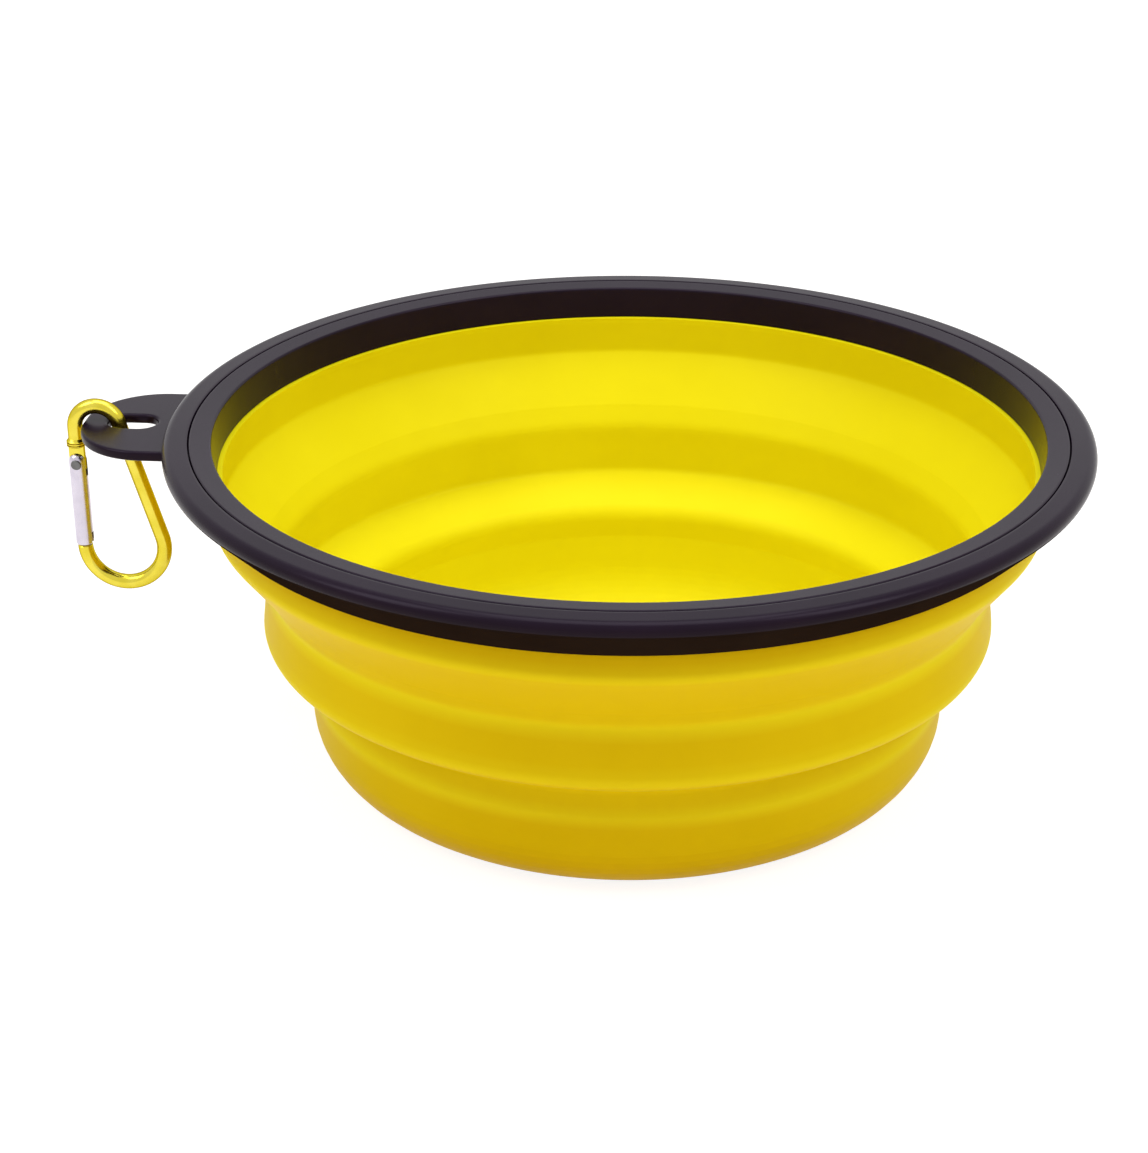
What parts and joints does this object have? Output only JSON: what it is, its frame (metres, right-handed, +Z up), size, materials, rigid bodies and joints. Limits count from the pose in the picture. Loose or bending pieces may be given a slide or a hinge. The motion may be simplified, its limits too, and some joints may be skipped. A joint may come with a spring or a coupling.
{
  "type": "collapsible bowl",
  "caption": "Collapsible silicone bowl with fold rings, a hard two-ring rim, a slotted hang tab and a gated carabiner.",
  "frame": {"origin": "centre of the base on the surface that the bowl stands on, with the bowl open", "axes": "+Z up along the bowl's axis; the hang tab and carabiner point along -X"},
  "size_m": [0.2011, 0.1792, 0.0717],
  "materials": {
    "silicone": "satin",
    "rim_plastic": "satin",
    "gold_aluminium": "polished",
    "silver_aluminium": "satin",
    "steel": "satin"
  },
  "bodies": {
    "rim": {"rim_ring": "rim_plastic", "clamp_ring": "rim_plastic", "upper_wall": "silicone", "upper_fold": "silicone"},
    "middle": {"middle_tier": "silicone", "lower_fold": "silicone"},
    "base": {"base_cup": "silicone"},
    "carabiner": {"carabiner_body": "gold_aluminium"},
    "gate": {"carabiner_gate": "silver_aluminium", "gate_pivot_rivet": "steel", "gate_spring": "steel"},
    "plunger": {"gate_plunger": "steel"}
  },
  "joints": [
    {"name": "upper_fold_slide", "type": "slide", "parent": "rim", "child": "middle", "axis": [0, 0, 1], "range_m": [0, 0.026], "deforming": ["upper_fold"]},
    {"name": "lower_fold_slide", "type": "slide", "parent": "middle", "child": "base", "axis": [0, 0, 1], "range_m": [0, 0.0234], "deforming": ["lower_fold"]},
    {"name": "carabiner_swing", "type": "hinge", "parent": "rim", "child": "carabiner", "pos_m": [-0.1051, 0, 0.06566], "axis": [0, 1, 0], "range_deg": [-12, 170]},
    {"name": "gate_hinge", "type": "hinge", "parent": "carabiner", "child": "gate", "pos_m": [-0.1096, 0, 0.05806], "axis": [0, -1, 0], "range_deg": [0, 28], "stiffness_Nm_per_rad": 0.01, "springref_deg": -28.65},
    {"name": "plunger_slide", "type": "slide", "parent": "gate", "child": "plunger", "axis": [0, 0, -1], "range_m": [0, 0.0005], "deforming": ["gate_spring"]}
  ],
  "couplings": [
    {"joint": "plunger_slide", "follows": "gate_hinge", "m_per_rad": 0.00082}
  ]
}
